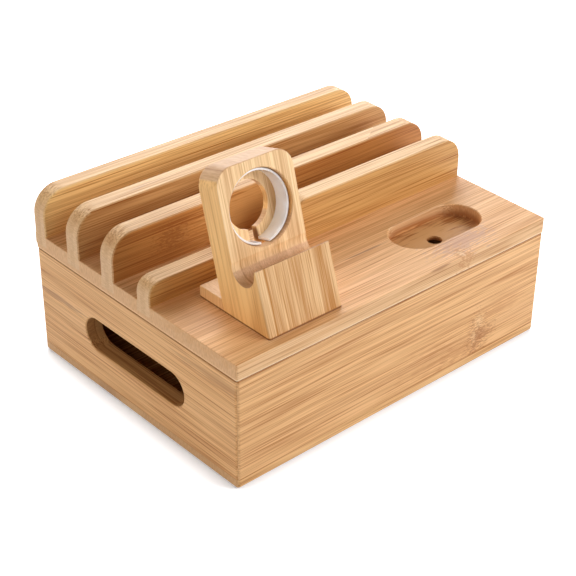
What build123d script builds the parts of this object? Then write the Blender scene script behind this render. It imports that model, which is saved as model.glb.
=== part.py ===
from build123d import *
import os
from math import cos, radians, sin, tan

# Bamboo charging station organizer, in millimetres.
# A mitred box holds the charger, its lid lifts off and carries four dividers and a tray for
# an earbud case, and a watch stand with a charger ring stands loose on the lid.
# The origin is the middle of the underside; +X runs right along the dividers, +Y to the
# rear and +Z up.

# Overall layout, from the front of the lid to its rear
body_length = 190.0
front_shelf_depth = 57.0
device_gap = 16.5
divider_thickness = 9.1
rear_divider_thickness = 8.2
divider_names = ["front_divider", "middle_front_divider", "middle_rear_divider", "rear_divider"]

# Box
box_height = 55.5
wall_thickness = 9.0
bottom_thickness = 5.0
box_edge_round = 1.8
wall_rim_easing = 0.5
side_slot_length = 71.0
side_slot_height = 17.0
side_slot_centre_height = 29.0
side_slot_bevel = 0.5

# Lid plate
lid_thickness = 8.1
lid_corner_round = 1.0
lid_top_easing = 0.4
lid_underside_easing = 0.8
dado_floor = 2.7

# Locating battens under the lid
batten_width = 10.0
batten_thickness = 6.0
batten_clearance = 0.5
batten_end_gap = 12.0
batten_lead_in = 1.5

# Dividers
divider_rise = 22.0
divider_end_round = 12.0
divider_bevel = 0.5
low_rise = 11.0
low_end_round = 6.5
high_part_length = 101.0
step_crest_round = 6.5
step_foot_round = 3.5
step_crest_share = 0.6
step_foot_share = 0.35

# Earbud case tray
tray_length = 52.0
tray_width = 25.0
tray_floor = 2.0
tray_end_margin = 20.0
tray_rim_bevel = 0.4
cable_hole_diameter = 7.5
cable_hole_offset = (-1.9, -1.9)

# Watch stand
stand_left_inset = 21.8
stand_front_margin = 5.1
stand_rear_margin = 6.5
lip_height = 28.2
lip_top_inset = 9.3
lip_land = 0.6
lip_edge_round = 1.2
groove_radius = 7.1
groove_depth = 10.0
groove_bite = 0.5
plate_lean = radians(16.0)
plate_thickness = 12.4
plate_corner_round = 8.5
base_board_thickness = 5.7
base_board_chamfer = 0.8
stand_easing = 0.4

# Round seat in the stand's plate, and the charger ring in it
seat_diameter = 33.0
seat_side_margin = 4.0
seat_top_margin = 4.6
seat_below_lip = 0.9
seat_rim_bevel = 0.4
ledge_thickness = 3.0
ledge_width = 5.75
cable_slot_width = 4.3
cable_slot_notch = 1.2
cable_slot_notch_length = 5.0
ring_clearance = 0.3
ring_wall = 1.0
ring_setback = 1.8
ring_gap = 4.4
ring_bevel = 0.2

# Construction values: how far a cutter runs past a face, and how close an edge lies to a place
overrun = 2.0
touch = 0.01

# Worked out
plain_divider_count = len(divider_names) - 1
organizer_depth = (front_shelf_depth + plain_divider_count * (divider_thickness + device_gap)
                   + rear_divider_thickness)
half_length = body_length / 2
half_depth = organizer_depth / 2
wall_height = box_height - bottom_thickness
lid_top = box_height + lid_thickness
stand_width = seat_diameter + 2 * seat_side_margin
groove_wall_inset = lip_top_inset + lip_land
groove_centre_inset = groove_wall_inset + groove_radius
groove_centre_height = lip_height - groove_depth + groove_radius
plate_run = plate_thickness / cos(plate_lean)
plate_foot_inset = (groove_centre_inset + (groove_radius - groove_bite) / cos(plate_lean)
                    - groove_centre_height * tan(plate_lean))
seat_depth = plate_thickness - ledge_thickness
seat_middle_on_plate = lip_height / cos(plate_lean) - seat_below_lip + seat_diameter / 2
stand_height = (seat_middle_on_plate + seat_diameter / 2 + seat_top_margin) * cos(plate_lean)
ring_outer_radius = seat_diameter / 2 - ring_clearance
ring_length = seat_depth - ring_setback

on_floor = (Align.CENTER, Align.CENTER, Align.MIN)
hung_below = (Align.CENTER, Align.CENTER, Align.MAX)


# Edges of a solid whose middle lies within half sizes of a point
def edges_near(solid, centre, reach):
    low = Vector(*centre) - Vector(*reach)
    high = Vector(*centre) + Vector(*reach)
    found = solid.edges()
    for axis, start, end in ((Axis.X, low.X, high.X), (Axis.Y, low.Y, high.Y), (Axis.Z, low.Z, high.Z)):
        found = found.filter_by_position(axis, start - touch, end + touch)
    return found


# Box: bottom board, with the walls standing on it
def bottom_board():
    board = Box(body_length, organizer_depth, bottom_thickness, align=on_floor)
    outer_edges = board.edges().filter_by(Axis.Z) + board.edges().group_by(Axis.Z)[0]
    return fillet(outer_edges, box_edge_round)


# The ring of four walls, before it is parted at the mitres
def wall_ring():
    outer = Pos(0, 0, bottom_thickness) * Box(body_length, organizer_depth, wall_height, align=on_floor)
    outer = fillet(outer.edges().filter_by(Axis.Z), box_edge_round)
    room_length = body_length - 2 * wall_thickness
    room_depth = organizer_depth - 2 * wall_thickness
    ring = outer - Pos(0, 0, bottom_thickness) * Box(room_length, room_depth, wall_height, align=on_floor)
    return fillet(ring.edges().group_by(Axis.Z)[-1], wall_rim_easing)


# One wall of the ring, between its two 45 degree mitres; turn 0 is the front
def mitred_wall(ring, side_length, side_offset, turn):
    outside = side_length / 2 + overrun
    inside = side_length / 2 - wall_thickness - overrun
    plan = Polygon((-outside, -overrun), (outside, -overrun),
                   (inside, wall_thickness + overrun), (-inside, wall_thickness + overrun), align=None)
    wedge = extrude(Pos(0, -side_offset, bottom_thickness) * plan, wall_height)
    return ring & Rot(0, 0, turn) * wedge


# The left wall, with the pill-shaped slot that lets the charger's power cable out
def slotted_wall(ring):
    wall = mitred_wall(ring, organizer_depth, half_length, -90)
    middle = Pos(wall_thickness / 2 - half_length, 0, side_slot_centre_height)
    outline = middle * (Plane.YZ * SlotOverall(side_slot_length, side_slot_height))
    wall -= extrude(outline, wall_thickness / 2 + overrun, both=True)
    rims = []
    for face_x in (-half_length, wall_thickness - half_length):
        slot_middle = (face_x, 0, side_slot_centre_height)
        rims += edges_near(wall, slot_middle, (0, side_slot_length / 2, side_slot_height / 2))
    return chamfer(rims, side_slot_bevel)


# Dividers: front face and thickness of each, counted from the front
def divider_place(index):
    front = -half_depth + front_shelf_depth + index * (divider_thickness + device_gap)
    is_rear = index == plain_divider_count
    return front, rear_divider_thickness if is_rear else divider_thickness


# Side view of a plain divider above the lid, both top corners rounded alike
def plain_divider_outline():
    outline = Polygon((-half_length, 0), (half_length, 0),
                      (half_length, divider_rise), (-half_length, divider_rise), align=None)
    return fillet(outline.vertices().group_by(Axis.Y)[-1], divider_end_round)


# Side view of the front divider, which steps down to its left so that the stand is in reach
def stepped_divider_outline():
    step_x = half_length - high_part_length
    step = divider_rise - low_rise
    crest = min(step_crest_round, step_crest_share * step)
    foot = min(step_foot_round, step_foot_share * step)
    outline = Polygon((-half_length, 0), (half_length, 0), (half_length, divider_rise),
                      (step_x - crest, divider_rise), (step_x - crest, low_rise),
                      (-half_length, low_rise), align=None)
    rounds = (((half_length, divider_rise), divider_end_round), ((-half_length, low_rise), low_end_round),
              ((step_x - crest, divider_rise), crest), ((step_x - crest, low_rise), foot))
    for corner, radius in rounds:
        outline = fillet(outline.vertices().sort_by_distance(corner)[0], radius)
    return outline


# The part of a divider that is glued into the lid, or the dado cut for it
def divider_tongue(index):
    front, thickness = divider_place(index)
    dado_depth = lid_thickness - dado_floor
    tongue = Box(body_length, thickness, dado_depth, align=(Align.CENTER, Align.MIN, Align.MAX))
    return Pos(0, front, lid_top) * tongue


# A divider: a blade with bevelled edges above the lid and a square tongue in its dado
def divider(index):
    front, thickness = divider_place(index)
    rear_face = Plane((0, front + thickness, lid_top), x_dir=(1, 0, 0), z_dir=(0, -1, 0))
    outline = stepped_divider_outline() if index == 0 else plain_divider_outline()
    blade = extrude(rear_face * outline, thickness)
    faces = blade.faces().sort_by(Axis.Y)
    outlines = faces[0].edges() + faces[-1].edges()
    above_lid = outlines.filter_by_position(Axis.Z, lid_top + touch, lid_top + divider_rise + touch)
    return chamfer(above_lid, divider_bevel) + divider_tongue(index)


# Lid plate with its dados, the earbud tray and the hole for the tray's cable
def lid_plate():
    plate = Pos(0, 0, box_height) * Box(body_length, organizer_depth, lid_thickness, align=on_floor)
    plate = fillet(plate.edges().filter_by(Axis.Z), lid_corner_round)
    plate = fillet(plate.edges().group_by(Axis.Z)[-1], lid_top_easing)
    plate = fillet(plate.edges().group_by(Axis.Z)[0], lid_underside_easing)
    tray_x = half_length - tray_end_margin - tray_length / 2
    tray_place = (tray_x, -half_depth + front_shelf_depth / 2, lid_top)
    tray_outline = Pos(*tray_place) * SlotOverall(tray_length, tray_width)
    plate -= extrude(tray_outline, tray_floor - lid_thickness)
    plate = chamfer(edges_near(plate, tray_place, (tray_length / 2, tray_width / 2, 0)), tray_rim_bevel)
    cable_hole = Cylinder(cable_hole_diameter / 2, lid_thickness + overrun, align=hung_below)
    plate -= Pos(*tray_place) * Pos(*cable_hole_offset) * cable_hole
    for index in range(len(divider_names)):
        plate -= divider_tongue(index)
    return plate


# A batten glued across the lid's grain, just inside a side wall, so that the lid can't shift
def lid_batten(side):
    batten_length = organizer_depth - 2 * (wall_thickness + batten_end_gap)
    batten = Box(batten_width, batten_length, batten_thickness, align=hung_below)
    batten = chamfer(batten.edges().group_by(Axis.Z)[0], batten_lead_in)
    outer_face = half_length - wall_thickness - batten_clearance
    return Pos(side * (outer_face - batten_width / 2), 0, box_height) * batten


# Watch stand: places in its side view are inset from its foot and height above the lid
stand_left = -half_length + stand_left_inset
stand_centre = stand_left + stand_width / 2
foot_y = -half_depth + stand_front_margin
side_view = Plane((stand_left, foot_y, lid_top), x_dir=(0, 1, 0), z_dir=(1, 0, 0))
across_plate = Axis((0, 0, 0), (0, cos(plate_lean), -sin(plate_lean)))


# Point of the side view on the plate's leaning front face
def plate_face(height):
    return plate_foot_inset + height * tan(plate_lean), height


# Side view of the block: lip in front, plate behind it, and the round-bottomed groove between
def block_outline():
    top_front = plate_face(stand_height)
    top_rear = (top_front[0] + plate_thickness * cos(plate_lean),
                stand_height - plate_thickness * sin(plate_lean))
    block = Polygon((0, 0), (plate_foot_inset + plate_run, 0), top_rear, top_front, plate_face(lip_height),
                    (groove_wall_inset, lip_height), (lip_top_inset, lip_height), align=None)
    mouth_height = lip_height + overrun
    mouth = Polygon((groove_wall_inset, groove_centre_height), plate_face(groove_centre_height),
                    plate_face(mouth_height), (groove_wall_inset, mouth_height), align=None)
    return block - mouth - Pos(groove_centre_inset, groove_centre_height) * Circle(groove_radius)


# Plane on the plate's front face at the middle of the round seat, looking out of the seat
def seat_plane():
    inset, rise = plate_face(seat_middle_on_plate * cos(plate_lean))
    middle = (stand_centre, foot_y + inset, lid_top + rise)
    return Plane(middle, x_dir=(1, 0, 0), z_dir=(0, -cos(plate_lean), sin(plate_lean)))


# The slot that lets the watch charger's cable down and out through the seat's ledge
def cable_slot():
    reach = seat_diameter / 2 + cable_slot_notch
    length = ledge_thickness + cable_slot_notch_length + overrun
    slot = Box(cable_slot_width, reach, length, align=(Align.CENTER, Align.MAX, Align.MIN))
    return seat_plane() * Pos(0, 0, -plate_thickness - overrun) * slot


# Block with its top corners and the lip's leaning edges rounded, and the plate's edges eased
def bare_block():
    block = extrude(side_view * block_outline(), stand_width)
    block = fillet(block.edges().filter_by(across_plate), plate_corner_round)
    lip_edges = block.faces().sort_by(Axis.Y)[0].edges().filter_by(Axis.X, reverse=True)
    block = fillet(lip_edges, lip_edge_round)
    plate_edges = ShapeList()
    for plate_side in block.faces().filter_by(across_plate):
        plate_edges += plate_side.edges().sort_by(Axis.Z)[1:]
    return fillet(plate_edges, stand_easing)


# Stand block: one upright-grained piece with lip, groove, leaning plate and stepped round seat
def stand_block():
    seat = seat_plane()
    above_seat = seat * Pos(0, 0, overrun)
    recess = Cylinder(seat_diameter / 2, seat_depth + overrun, align=hung_below)
    block = bare_block() - above_seat * recess
    round_edges = block.edges().filter_by(GeomType.CIRCLE)
    rim = round_edges.filter_by(lambda edge: (edge.arc_center - seat.origin).length < touch)
    block = chamfer(rim, seat_rim_bevel)
    opening_radius = seat_diameter / 2 - ledge_width
    opening = Cylinder(opening_radius, plate_thickness + 2 * overrun, align=hung_below)
    return block - above_seat * opening - cable_slot()


# Base board that props the block; its front end is bevelled to the plate's leaning rear face
def stand_base_board():
    stand_depth = front_shelf_depth - stand_front_margin - stand_rear_margin
    front_low = plate_foot_inset + plate_run
    front_high = front_low + base_board_thickness * tan(plate_lean)
    outline = Polygon((front_low, 0), (stand_depth, 0), (stand_depth, base_board_thickness),
                      (front_high, base_board_thickness), align=None)
    board = extrude(side_view * outline, stand_width)
    board = chamfer(board.edges().group_by(Axis.Z)[0].sort_by(Axis.Y)[-1], base_board_chamfer)
    return fillet(board.edges().group_by(Axis.Z)[-1].sort_by(Axis.Y)[1:], stand_easing)


# Split ring of white plastic that grips the charging puck, its gap over the cable slot
def charger_ring():
    inner_radius = ring_outer_radius - ring_wall
    section = Circle(ring_outer_radius) - Circle(inner_radius)
    section -= Rectangle(ring_gap, ring_outer_radius + overrun, align=(Align.CENTER, Align.MAX))
    ring = extrude(section, ring_length)
    ring = chamfer(ring.edges().group_by(Axis.Z)[-1], ring_bevel)
    return seat_plane() * Pos(0, 0, -seat_depth) * ring


walls = wall_ring()
parts = {
    "box_bottom_board": bottom_board(),
    "box_front_panel": mitred_wall(walls, body_length, half_depth, 0),
    "box_back_panel": mitred_wall(walls, body_length, half_depth, 180),
    "box_left_panel": slotted_wall(walls),
    "box_right_panel": mitred_wall(walls, organizer_depth, half_length, 90),
    "lid_plate": lid_plate(),
    "lid_left_batten": lid_batten(-1),
    "lid_right_batten": lid_batten(1),
    "stand_block": stand_block(),
    "stand_base_board": stand_base_board(),
    "charger_ring": charger_ring(),
}
for index, name in enumerate(divider_names):
    parts[name] = divider(index)

os.makedirs("parts", exist_ok=True)
for name, part in parts.items():
    export_step(part, f"parts/{name}.step")
    print(f"{name}: {part.volume / 1000:.2f} cm3")
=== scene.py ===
from math import cos, radians, sin

import bpy
from mathutils import Matrix, Vector


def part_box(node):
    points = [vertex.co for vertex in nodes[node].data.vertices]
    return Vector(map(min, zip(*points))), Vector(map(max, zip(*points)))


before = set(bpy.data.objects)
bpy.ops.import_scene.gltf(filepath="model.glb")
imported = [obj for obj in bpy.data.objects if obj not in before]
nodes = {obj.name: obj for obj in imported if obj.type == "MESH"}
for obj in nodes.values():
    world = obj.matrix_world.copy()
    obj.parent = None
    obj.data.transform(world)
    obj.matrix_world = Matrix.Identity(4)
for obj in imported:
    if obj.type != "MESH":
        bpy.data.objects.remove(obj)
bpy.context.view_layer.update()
scene = bpy.context.scene

# Camera, fitted to the edges of the photograph in its frame of 576 pixels
frame_pixels = 576
sensor_width = 36.0
focal_pixels = 1493.0
axis_pixel = (400.0, 315.2)
camera_azimuth = radians(-46.77)
camera_elevation = radians(32.58)
camera_roll = radians(3.35)
camera_distance = 0.68062
camera_target = Vector((0.01064, -0.05934, 0.038))


def make_camera():
    back = Vector((sin(camera_azimuth) * cos(camera_elevation),
                   -cos(camera_azimuth) * cos(camera_elevation), sin(camera_elevation)))
    level_right = Vector((cos(camera_azimuth), sin(camera_azimuth), 0))
    level_up = back.cross(level_right)
    right = cos(camera_roll) * level_right + sin(camera_roll) * level_up
    up = cos(camera_roll) * level_up - sin(camera_roll) * level_right
    data = bpy.data.cameras.new("camera")
    data.sensor_width = sensor_width
    data.lens = focal_pixels / frame_pixels * sensor_width
    data.shift_x = 0.5 - axis_pixel[0] / frame_pixels
    data.shift_y = axis_pixel[1] / frame_pixels - 0.5
    camera = bpy.data.objects.new("camera", data)
    camera.matrix_world = (Matrix.Translation(camera_target + back * camera_distance)
                           @ Matrix((right, up, back)).transposed().to_4x4())
    scene.collection.objects.link(camera)
    scene.camera = camera


# Linear colour of an sRGB hex value
def colour(value):
    channels = [int(value[i:i + 2], 16) / 255 for i in (1, 3, 5)]
    return [c / 12.92 if c <= 0.04045 else ((c + 0.055) / 1.055) ** 2.4 for c in channels] + [1]


# Shares of a board's colour: brown fibres, and the pale flesh between them
fibre_shade = (0.55, 0.34, 0.12, 1)
flesh_shade = (1.18, 1.26, 1.44, 1)
plain_tone = 0.72
strip_spread = 0.06
honey_tint = (1.005, 0.995, 0.97)
blush_tint = (0.995, 1.005, 1.03)
# Grain, as length and width in millimetres and strength
broad_bands = (300, 7.0, 0.10)
streaks = (110, 1.4, 0.13)
fibres = (45, 0.6, 0.38)
dark_bundles = (60, 0.7, 0.4)
# Specks on cut ends: size along the grain, across it and through the board, and strength
speck_size = (1.0, 0.55, 2.4)
speck_strength = 0.2
# Most of a noise texture's values lie between these two
noise_low, noise_high = 0.3, 0.7
# A surface starts to count as facing an axis at the first value and does so fully at the second
square_on = (0.55, 0.9)
# Oiled and sanded: the fibres scatter light a little more than the flesh, and stand in faint relief
fibre_roughness, flesh_roughness = 0.54, 0.46
relief_strength, relief_height = 0.1, 0.00002
oiled_specular = 0.33


# Adds a node; inputs gives each socket a plain value or another node's output
def add_node(owner, kind, inputs=None, **settings):
    node = owner.node_tree.nodes.new(kind)
    for name, value in settings.items():
        setattr(node, name, value)
    for socket, value in (inputs or {}).items():
        if isinstance(value, bpy.types.NodeSocket):
            owner.node_tree.links.new(value, node.inputs[socket])
        else:
            node.inputs[socket].default_value = value
    return node


def new_material(name):
    material = bpy.data.materials.new(name)
    material.use_nodes = True
    material.node_tree.nodes.clear()
    return material


# Stained patch in the bamboo, such as a stalk's node: its colour fades in round a point of the
# board, given in millimetres along, across and through it, and breaks up into flecks
def stain(material, skin, board, middle, reach, tint, share, fleck=(3.0, 1.0, 1.0), ragged=1.0):
    away = add_node(material, "ShaderNodeVectorMath", {0: board, 1: middle}, operation="SUBTRACT")
    scaled = add_node(material, "ShaderNodeVectorMath",
                      {0: away.outputs[0], 1: reach}, operation="DIVIDE")
    radius = add_node(material, "ShaderNodeVectorMath", {0: scaled.outputs[0]}, operation="LENGTH")
    fleck_place = add_node(material, "ShaderNodeVectorMath",
                           {0: away.outputs[0], 1: fleck}, operation="DIVIDE")
    flecks = add_node(material, "ShaderNodeTexNoise",
                      {"Vector": fleck_place.outputs[0], "Detail": 2.0, "Scale": 1.0})
    broken = add_node(material, "ShaderNodeMapRange",
                      {0: flecks.outputs[0], 1: noise_low, 2: noise_high, 3: ragged, 4: -ragged},
                      clamp=False)
    edge = add_node(material, "ShaderNodeMath",
                    {0: radius.outputs["Value"], 1: broken.outputs[0]}, operation="ADD")
    fade = add_node(material, "ShaderNodeMapRange",
                    {0: edge.outputs[0], 1: 1.0, 2: 0.45, 3: 0.0, 4: share},
                    interpolation_type="SMOOTHSTEP")
    return add_node(material, "ShaderNodeMix", {"Factor": fade.outputs[0], 6: skin, 7: colour(tint)},
                    data_type="RGBA").outputs[2]


# Change of tone over a board from glued plies or strips, given as (place in millimetres, change).
# The ramp's colours can't be below 0, so it holds the changes raised by a half.
def tone_by_place(material, axis, steps):
    first, last = steps[0][0], steps[-1][0]
    share = add_node(material, "ShaderNodeMapRange", {0: axis, 1: first, 2: last})
    ramp = add_node(material, "ShaderNodeValToRGB", {0: share.outputs[0]})
    stops = ramp.color_ramp.elements
    while len(stops) > 1:
        stops.remove(stops[0])
    stops[0].position = 0.0
    for place, change in steps[1:]:
        stops.new((place - first) / (last - first))
    for stop, (place, change) in zip(stops, steps):
        stop.color = (0.5 + change, 0.5 + change, 0.5 + change, 1)
    return add_node(material, "ShaderNodeMath",
                    {0: ramp.outputs[0], 1: 0.5}, operation="SUBTRACT").outputs[0]


# Laminated bamboo, planed, sanded and oiled: fine brown fibres in pale flesh, strips that differ a
# little in tone and tint, and specks where the fibres end. axes names the directions along the
# grain, across it on the wide face, and through the board. face, edge and end are the colours of
# the surfaces towards the last, the second and the first of these. tones gives changes of tone by
# place along these directions, and cut is how squarely a surface has to face along the grain
# before it shows the fibres' ends.
def bamboo(name, axes, face, edge, end, strip=6.0, shift=(0, 0, 0), turn=(0, 0, 0), contrast=1.0,
           depth=1.0, cut=square_on, end_contrast=1.0, tones=None, stains=()):
    material = new_material("laminated_bamboo_" + name)
    place = add_node(material, "ShaderNodeTexCoord")
    split = add_node(material, "ShaderNodeSeparateXYZ", {0: place.outputs["Object"]})
    turned = add_node(material, "ShaderNodeCombineXYZ",
                      {i: split.outputs["xyz".index(axis)] for i, axis in enumerate(axes)})
    board = add_node(material, "ShaderNodeMapping",
                     {"Vector": turned.outputs[0], "Scale": (1000, 1000, 1000)}).outputs[0]
    grain = add_node(material, "ShaderNodeMapping",
                     {"Vector": board, "Rotation": turn, "Location": shift}).outputs[0]
    # Fibres wander sideways by a millimetre or two over the board's length
    slow = add_node(material, "ShaderNodeVectorMath", {0: grain, 1: (160, 40, 40)}, operation="DIVIDE")
    wander = add_node(material, "ShaderNodeTexNoise",
                      {"Vector": slow.outputs[0], "Scale": 1.0, "Detail": 1.0})
    lie = add_node(material, "ShaderNodeSeparateXYZ", {0: grain})
    across = add_node(material, "ShaderNodeMath", {0: wander.outputs[0], 1: 2.0, 2: lie.outputs[1]},
                      operation="MULTIPLY_ADD")
    strips = add_node(material, "ShaderNodeTexVoronoi",
                      {"W": across.outputs[0], "Scale": 1 / strip, "Randomness": 0.6},
                      voronoi_dimensions="1D")
    strip_look = add_node(material, "ShaderNodeSeparateColor", {0: strips.outputs["Color"]})
    own = add_node(material, "ShaderNodeVectorMath", {0: strips.outputs["Color"], 1: (400, 0, 60)},
                   operation="MULTIPLY")
    straight = add_node(material, "ShaderNodeCombineXYZ",
                        {0: lie.outputs[0], 1: across.outputs[0], 2: lie.outputs[2]})
    lane = add_node(material, "ShaderNodeVectorMath",
                    {0: straight.outputs[0], 1: own.outputs[0]}, operation="ADD")
    tone = add_node(material, "ShaderNodeMapRange",
                    {0: strip_look.outputs[0], 3: plain_tone - strip_spread * contrast,
                     4: plain_tone + strip_spread * contrast}).outputs[0]
    # The bands run over all strips, and streaks and fibres are each strip's own. The fibres come last,
    # since the relief and the roughness below follow them.
    for source, (length, width, strength) in ((straight, broad_bands), (lane, streaks), (lane, fibres)):
        size = add_node(material, "ShaderNodeVectorMath",
                        {0: source.outputs[0], 1: (length, width, width * depth)}, operation="DIVIDE")
        fine = add_node(material, "ShaderNodeTexNoise",
                        {"Vector": size.outputs[0], "Scale": 1.0, "Detail": 1.0})
        change = add_node(material, "ShaderNodeMapRange",
                          {0: fine.outputs[0], 1: noise_low, 2: noise_high, 3: -strength * contrast,
                           4: strength * contrast}, clamp=False)
        tone = add_node(material, "ShaderNodeMath",
                        {0: tone, 1: change.outputs[0]}, operation="ADD").outputs[0]
    # Only the highest noise values become dark bundles, so these are sparse
    length, width, strength = dark_bundles
    bundle_size = add_node(material, "ShaderNodeVectorMath",
                           {0: lane.outputs[0], 1: (length, width, width * depth)}, operation="DIVIDE")
    bundles = add_node(material, "ShaderNodeTexNoise",
                       {"Vector": bundle_size.outputs[0], "Scale": 1.0, "Detail": 0.0})
    dark = add_node(material, "ShaderNodeMapRange",
                    {0: bundles.outputs[0], 1: 0.62, 2: 0.74, 3: 0.0, 4: -strength * contrast})
    tone = add_node(material, "ShaderNodeMath", {0: tone, 1: dark.outputs[0]}, operation="ADD").outputs[0]
    # Cut ends: specks of fibre bundles, half a millimetre wide and drawn out through the board
    along, aside, through = speck_size
    speck_place = add_node(material, "ShaderNodeVectorMath",
                           {0: grain, 1: (along, aside, through * depth)},
                           operation="DIVIDE")
    specks = add_node(material, "ShaderNodeTexNoise",
                      {"Vector": speck_place.outputs[0], "Scale": 1.0, "Detail": 2.0})
    speck = add_node(material, "ShaderNodeMapRange",
                     {0: specks.outputs[0], 1: noise_low, 2: noise_high,
                      3: plain_tone - speck_strength * end_contrast,
                      4: plain_tone + speck_strength * end_contrast}, clamp=False)
    # Which way the surface faces
    facing = add_node(material, "ShaderNodeSeparateXYZ", {0: place.outputs["Normal"]})
    shares = []
    for axis, (low, high) in zip(axes, (cut, square_on)):
        squareness = add_node(material, "ShaderNodeMath", {0: facing.outputs["xyz".index(axis)]},
                              operation="ABSOLUTE")
        share = add_node(material, "ShaderNodeMapRange", {0: squareness.outputs[0], 1: low, 2: high})
        shares.append(share.outputs[0])
    tone = add_node(material, "ShaderNodeMix",
                    {"Factor": shares[0], 2: tone, 3: speck.outputs[0]}).outputs[0]
    sides = add_node(material, "ShaderNodeSeparateXYZ", {0: board})
    for direction, steps in (tones or {}).items():
        tone = add_node(material, "ShaderNodeMath",
                        {0: tone, 1: tone_by_place(material, sides.outputs[direction], steps)},
                        operation="ADD").outputs[0]
    shade = add_node(material, "ShaderNodeMix",
                     {"Factor": tone, 6: fibre_shade, 7: flesh_shade}, data_type="RGBA")
    tint = add_node(material, "ShaderNodeMix",
                    {"Factor": strip_look.outputs[1], 4: honey_tint, 5: blush_tint},
                    data_type="VECTOR")
    tinted = add_node(material, "ShaderNodeVectorMath", {0: shade.outputs[2], 1: tint.outputs[1]},
                      operation="MULTIPLY")
    flat = add_node(material, "ShaderNodeMix", {"Factor": shares[1], 6: colour(face), 7: colour(edge)},
                    data_type="RGBA")
    sawn = add_node(material, "ShaderNodeMix", {"Factor": shares[0], 6: flat.outputs[2], 7: colour(end)},
                    data_type="RGBA")
    skin = add_node(material, "ShaderNodeVectorMath", {0: sawn.outputs[2], 1: tinted.outputs[0]},
                    operation="MULTIPLY").outputs[0]
    for patch in stains:
        skin = stain(material, skin, board, *patch)
    roughness = add_node(material, "ShaderNodeMapRange",
                         {0: fine.outputs[0], 1: noise_low, 2: noise_high, 3: fibre_roughness,
                          4: flesh_roughness})
    relief = add_node(material, "ShaderNodeBump",
                      {"Height": fine.outputs[0], "Strength": relief_strength, "Distance": relief_height})
    surface = add_node(material, "ShaderNodeBsdfPrincipled",
                       {"Base Color": skin, "Roughness": roughness.outputs[0], "Normal": relief.outputs[0],
                        "Specular IOR Level": oiled_specular})
    add_node(material, "ShaderNodeOutputMaterial", {0: surface.outputs[0]})
    return material


# Injection-moulded ABS, white and glossy: a faint orange peel softens its reflections
def white_plastic():
    material = new_material("moulded_white_abs")
    place = add_node(material, "ShaderNodeTexCoord")
    # Ripples about a millimetre wide, since the object's own coordinates are in metres
    ripple = add_node(material, "ShaderNodeTexNoise",
                      {"Vector": place.outputs["Object"], "Scale": 900.0, "Detail": 1.0})
    tint = add_node(material, "ShaderNodeMix",
                    {"Factor": ripple.outputs[0], 6: colour("#f8f5f3"), 7: colour("#fdfbf9")},
                    data_type="RGBA")
    gloss = add_node(material, "ShaderNodeMapRange", {0: ripple.outputs[0], 3: 0.14, 4: 0.24})
    peel = add_node(material, "ShaderNodeBump",
                    {"Height": ripple.outputs[0], "Strength": 0.1, "Distance": 0.00003})
    surface = add_node(material, "ShaderNodeBsdfPrincipled",
                       {"Base Color": tint.outputs[2], "Roughness": gloss.outputs[0],
                        "Normal": peel.outputs[0], "Specular IOR Level": 0.8,
                        "Coat Weight": 1.0, "Coat Roughness": 0.12})
    add_node(material, "ShaderNodeOutputMaterial", {0: surface.outputs[0]})
    return material


def dress(name, material):
    data = nodes[name].data
    data.materials.clear()
    data.materials.append(material)


# A stain given with this has an even edge and no flecks
even = ((1, 1, 1), 0.0)

# Box, in millimetres: half its length and depth, its walls' thickness and the height of their rim
half_length, half_depth, wall, rim = 95, 71, 9, 55.5
node_brown, node_tan = "#9a5c2a", "#b87b45"
node_flesh = "#f4cd9a"
# Painted shadow: the first stain on the front wall and on the left wall darkens a line along the rim,
# where the gap under the lid is in shade.
painted_gap_shadow = "#7d4a17"
front_nodes_and_gap_shadow = [((0, rim, -half_depth), (220, 0.75, 3), painted_gap_shadow, 0.6, *even),
               ((43, 10, -71), (17, 6, 4), node_tan, 0.4, (6.0, 1.4, 2.0), 0.9),
               ((52, 14, -71), (5, 10, 4), node_brown, 0.58, (2.4, 0.8, 2.0), 1.3),
               ((57, 15, -71), (7, 4, 4), node_brown, 0.45, (2.4, 0.8, 2.0), 1.2),
               ((53, 23, -71), (3.5, 4, 3), node_flesh, 0.5, (2.0, 0.7, 2.0), 0.9),
               ((50, 15, -71), (2.0, 4, 3), node_flesh, 0.45, (2.0, 0.7, 2.0), 0.9),
               ((66, 24, -71), (16, 5, 4), node_tan, 0.3, (8.0, 1.0, 2.0), 1.0),
               ((20, 14, -71), (18, 8, 4), node_tan, 0.25, (8.0, 1.0, 2.0), 1.1)]
left_streaks_and_gap_shadow = [((0, rim, -half_length), (220, 0.6, 3), painted_gap_shadow, 0.5, *even),
                ((56, 35, -95), (26, 2.2, 4), "#a8744c", 0.6, (14, 0.8, 2.0), 0.6),
                ((-62, 50, -95), (34, 4.0, 4), "#b07c49", 0.5, (20, 0.9, 2.0), 0.6)]
# Walls: the foot is dark with glue, the rim darkened as painted shade of the lid's shadow gap, and the
# inside face darkened as painted shade. The left wall's slot shows an outer ply, a glue line and an inner
# ply.
wall_seams_and_rim_shade = ((5.0, -0.35), (5.3, -0.35), (5.5, 0.0), (55.0, 0.0), (55.2, -0.1), (55.5, -0.15))
strip_joint = ((33.5, 0.0), (33.7, -0.22), (33.9, -0.22), (34.1, 0.2), (34.5, 0.2), (34.8, 0.0))
front_seams_and_rim_shade = (*wall_seams_and_rim_shade[:3], *strip_joint, *wall_seams_and_rim_shade[3:])
left_seams_and_rim_shade = (*wall_seams_and_rim_shade[:2], (5.5, -0.05), (55.0, 0.06), *wall_seams_and_rim_shade[4:])
# Painted shade inside the box: the walls' inner faces and the bottom board's top are darkened by this
# change of tone.
painted_inside_shade = -0.6


def painted_shade_inside(outer, inner, plies=()):
    step = 0.3 if inner > outer else -0.3
    return sorted([(outer, 0.0), *plies, (inner - step, 0.0), (inner - step / 2, painted_inside_shade), (inner, painted_inside_shade)])


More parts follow.
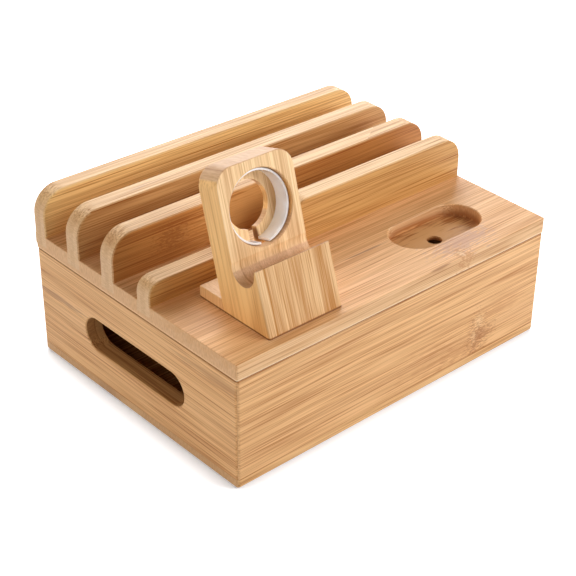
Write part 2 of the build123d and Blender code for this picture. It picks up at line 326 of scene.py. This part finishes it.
dress("box_front_panel", bamboo("box_front", "xzy", "#daa76d", "#dbaa71", "#e0af7d", shift=(3, 7, 2),
                                tones={1: front_seams_and_rim_shade, 2: painted_shade_inside(-half_depth, wall - half_depth)},
                                stains=front_nodes_and_gap_shadow))
dress("box_back_panel", bamboo("box_back", "xzy", "#dbaa71", "#dbaa71", "#e0af7d", shift=(61, 57, 2),
                               tones={1: wall_seams_and_rim_shade, 2: painted_shade_inside(half_depth, half_depth - wall)}))
slot_plies = ((-95, 0.0), (-94.8, 0.0), (-94.6, -0.12), (-90.7, -0.12), (-90.5, -0.4), (-90.2, -0.4),
              (-90.0, 0.06), (-86.3, 0.06), (-86.1, painted_inside_shade))
dress("box_left_panel", bamboo("box_left", "yzx", "#e0a96a", "#cd9558", "#c08a50", shift=(33, 27, 2),
                               turn=(0, 0, -0.012), tones={1: left_seams_and_rim_shade, 2: slot_plies},
                               stains=left_streaks_and_gap_shadow))
dress("box_right_panel", bamboo("box_right", "yzx", "#e3ab72", "#cd9558", "#c08a50", shift=(53, 87, 2),
                                tones={1: wall_seams_and_rim_shade, 2: painted_shade_inside(half_length, half_length - wall)}))
bottom_ends = [((-95, 21.5, 2.5), (4, 9, 5), "#b98c60", 0.6, *even),
               ((-95, 3, 2.5), (4, 10, 5), "#e2b57f", 0.5, *even)]
dress("box_bottom_board", bamboo("box_bottom", "xyz", "#dbaa71", "#dcad72", "#d0a069", shift=(3, 7, 2),
                                 tones={2: ((0, 0.0), (4.8, 0.0), (4.9, painted_inside_shade), (5, painted_inside_shade))},
                                 stains=bottom_ends))

# Lid
tray_middle = ((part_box("lid_plate")[1][0] - 0.046) * 1000, -42.5, 57.5)
tray_floor = (tray_middle[0] - 4, tray_middle[1] - 2, 57.5)
lid_marks_and_painted_light = [((-80, -42, 63.6), (60, 50, 4), "#d39048", 0.2, (60, 4, 2), 0.7),
             # Painted highlight: a pale line along the lid's lower front edge.
             ((0, -71, 55.85), (220, 3, 0.7), "#f8deb8", 0.9, *even),
             ((48, -60, 63.6), (20, 9, 4), "#bf9580", 0.6, (5.0, 0.9, 1.2), 0.7),
             ((8, -38.4, 63.6), (16, 0.8, 4), "#9d6a40", 0.8, (20, 1.0, 1.0), 0.3),
             ((23.5, -70.6, 63.6), (8, 0.7, 4), "#9d6a40", 0.7, (20, 1.0, 1.0), 0.3),
             ((40, -69, 62), (5, 6, 6), node_tan, 0.6, (1.6, 1.2, 1.2), 0.8),
             ((39.5, -68.5, 62), (2.0, 3.0, 4), "#f0cfa0", 0.6, (1.6, 1.2, 1.2), 0.3),
             # Painted shade: the tray's walls and floor are darkened, and the floor is then partly brought
             # back towards the lid's colour.
             (tray_middle, (46, 25, 6.1), "#9c581e", 0.9, (3, 1, 1), 0.0),
             (tray_floor, (36, 22, 1.2), "#e2ae72", 0.75, (14, 1.2, 3), 0.45)]
# Painted highlight: the lid's lowest millimetre is made paler, as if its rounded lower edge caught the
# light.
painted_lid_edge_highlight = ((55.5, 0.3), (55.6, 0.5), (56.6, 0.5), (56.9, 0.0), (63.6, 0.0))
dress("lid_plate", bamboo("lid", "xyz", "#e4b178", "#d7aa77", "#dcaa73", shift=(23, 5, 2), contrast=0.85,
                          tones={2: painted_lid_edge_highlight}, stains=lid_marks_and_painted_light))
for side in ("left", "right"):
    dress("lid_%s_batten" % side,
          bamboo("batten_" + side, "yxz", "#e2a96c", "#e2a96c", "#d9a56c", shift=(3, 7, 2)))
# Painted light and shade: one bamboo fitted per divider to how it is lit, so the middle front face is
# darkest for the shade in the bays and the rear one lightest.
divider_faces = {"front_divider": "#c69352", "middle_front_divider": "#b77a3c",
                 "middle_rear_divider": "#c39055", "rear_divider": "#e6b973"}
# On the middle front divider's face: a dark brown spot at its left and, further right, a paler patch,
# which is painted light.
divider_marks_and_painted_light = {
    "middle_front_divider": [((-63, 75.5, 11.6), (8, 5, 4), node_brown, 0.6, (2.4, 0.8, 2.0), 1.2),
                             ((-22, 75, 11.6), (30, 16, 4), "#d8a060", 0.7, (14, 1, 2), 0.5)],
    "middle_rear_divider": [((-57, 95, 42), (22, 14, 1.6), "#a87f74", 0.35, (12, 2, 1), 0.5)]}
# Tone from a divider's front face inwards, where three plies are glued together
divider_plies = ((0, 0.06), (3.0, 0.06), (3.4, -0.06), (6.2, -0.06), (6.5, 0.02))
for index, (name, face) in enumerate(divider_faces.items()):
    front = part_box(name)[0][1] * 1000
    plies = [(front + place, change) for place, change in divider_plies]
    dress(name, bamboo(name, "xzy", face, "#e2b57b", "#dcb07c", shift=(3 + 40 * index, 7 + 19 * index, 2),
                       end_contrast=0.8, tones={2: plies}, stains=divider_marks_and_painted_light.get(name, ())))

# Watch stand
plate_lean = radians(16.0)
stand_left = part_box("stand_block")[0][0] * 1000
stand_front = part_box("stand_block")[0][1] * 1000
lid_top = 63.6
# Painted shade: the foot is darkened where it meets the lid, in place of the contact shadow there
foot = ((lid_top, -0.7), (64.1, -0.7), (64.5, 0.0), (66, 0.0))
painted_foot_shadow_line = ((lid_top, stand_left + 20, stand_front + 30), (0.9, 200, 200), "#6b3a14", 0.8, *even)
stand_strips = [(stand_left + place, change) for place, change in (
    (0, 0.08), (4.3, 0.12), (4.5, -0.3), (5.1, -0.3), (5.4, -0.1), (10, -0.02), (14, -0.1), (15, 0.04),
    (24, 0.02), (29, 0.0), (29.6, 0.2), (30.4, 0.2), (31, -0.04), (34, -0.2), (37.5, -0.2), (38, 0.0),
    (41, 0.05))]
lip_shade = [(stand_front + place, change)
             for place, change in ((0, -0.37), (9, -0.34), (13, 0.0), (30, 0.04))]
# Middle of the ring in millimetres, and from it the opening behind it and the slot in its ledge
ring_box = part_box("charger_ring")
ring_middle = [500 * (low + high) for low, high in zip(*ring_box)]
opening_back = (ring_middle[2] - 3, ring_middle[0], ring_middle[1] + 8)
ledge_slot = (ring_middle[2] - 14.8, ring_middle[0] + 1.5, ring_middle[1] + 1.0)
# Painted shade: the walls of the opening behind the ring and the slot in the ledge are darkened, and so is
# a thin line at the foot.
stand_painted_shade = [(opening_back, (13, 13, 5), "#a8703e", 0.6, *even),
               (ledge_slot, (5, 1.7, 6), "#6b3d1c", 0.85, *even),
               painted_foot_shadow_line]
dress("stand_block", bamboo("stand", "zxy", "#edc48c", "#eeb76e", "#d9aa78", strip=5.0, shift=(3, 7, 2),
                            turn=(0, plate_lean, 0), depth=2.0, contrast=0.62, cut=(0.42, 0.52),
                            end_contrast=0.9, tones={0: foot, 1: stand_strips, 2: lip_shade},
                            stains=stand_painted_shade))
dress("stand_base_board", bamboo("stand_base", "zxy", "#e9bb7e", "#efba78", "#e6bc88", strip=5.0,
                                 shift=(33, 7, 2), contrast=0.5, tones={0: foot}, stains=[painted_foot_shadow_line]))
dress("charger_ring", white_plastic())


# Studio: sizes in metres, angles in degrees, and each softbox's power in watts
floor_half = 3.0
floor_glow, shadow_glow = 0.96, 0.3
contact_shadow_width = 0.012
paper_colour = (0.78, 0.84, 0.92, 1)
room_light = 0.05
room_tint = (1.0, 0.72, 0.45, 1)
softbox_distance, softbox_size = 1.4, 0.9
softboxes = (("key", 38, 28, 16.2), ("rear_right", 140, 26, 10.5), ("rear", 180, 45, 7.8),
             ("left", 258, 16, 4.5), ("front_left", 302, 25, 3.4))


# Paper floor: white to the camera and in reflections apart from the object's shadow
def make_floor():
    mesh = bpy.data.meshes.new("floor")
    corners = [(floor_half * x, floor_half * y, 0) for x, y in ((-1, -1), (1, -1), (1, 1), (-1, 1))]
    mesh.from_pydata(corners, [], [(0, 1, 2, 3)])
    floor = bpy.data.objects.new("floor", mesh)
    scene.collection.objects.link(floor)
    material = new_material("white_studio_paper")
    paper = add_node(material, "ShaderNodeBsdfDiffuse", {"Color": paper_colour})
    # Less of the glow reaches the paper close to the object, which leaves the shadow round its foot
    open_sky = add_node(material, "ShaderNodeAmbientOcclusion", {"Distance": contact_shadow_width})
    strength = add_node(material, "ShaderNodeMapRange",
                        {0: open_sky.outputs["AO"], 1: 0.5, 2: 1.0, 3: shadow_glow * floor_glow,
                         4: floor_glow})
    glow = add_node(material, "ShaderNodeEmission", {"Strength": strength.outputs[0]})
    lit = add_node(material, "ShaderNodeAddShader", {0: paper.outputs[0], 1: glow.outputs[0]})
    mixed = add_node(material, "ShaderNodeMixShader",
                     {0: seen_directly(material), 1: paper.outputs[0], 2: lit.outputs[0]})
    add_node(material, "ShaderNodeOutputMaterial", {0: mixed.outputs[0]})
    mesh.materials.append(material)


# 1 for camera, glossy and transmission rays, which see the white backdrop, and 0 for the light itself
def seen_directly(owner):
    path = add_node(owner, "ShaderNodeLightPath")
    seen = path.outputs["Is Camera Ray"]
    for kind in ("Is Glossy Ray", "Is Transmission Ray"):
        seen = add_node(owner, "ShaderNodeMath",
                        {0: seen, 1: path.outputs[kind]}, operation="MAXIMUM").outputs[0]
    return seen


def make_backdrop():
    world = bpy.data.worlds.new("white_backdrop")
    world.use_nodes = True
    world.node_tree.nodes.clear()
    seen = seen_directly(world)
    strength = add_node(world, "ShaderNodeMapRange", {0: seen, 3: room_light, 4: 1.0})
    tint = add_node(world, "ShaderNodeMix",
                    {"Factor": seen, 6: room_tint, 7: (1, 1, 1, 1)}, data_type="RGBA")
    sky = add_node(world, "ShaderNodeBackground",
                   {"Color": tint.outputs[2], "Strength": strength.outputs[0]})
    add_node(world, "ShaderNodeOutputWorld", {0: sky.outputs[0]})
    scene.world = world


# Round softbox aimed at the object; azimuth from the front towards the right
def make_softbox(name, azimuth, elevation, power):
    data = bpy.data.lights.new(name, "AREA")
    data.shape = "DISK"
    data.size = softbox_size
    data.energy = power
    lamp = bpy.data.objects.new(name, data)
    a, e = radians(azimuth), radians(elevation)
    lamp.location = softbox_distance * Vector((sin(a) * cos(e), -cos(a) * cos(e), sin(e)))
    lamp.rotation_mode = "QUATERNION"
    lamp.rotation_quaternion = (Vector((0, 0, 0.05)) - lamp.location).to_track_quat("-Z", "Y")
    scene.collection.objects.link(lamp)


make_camera()
make_floor()
make_backdrop()
for name, azimuth, elevation, power in softboxes:
    make_softbox(name, azimuth, elevation, power)
scene.view_settings.view_transform = "Standard"
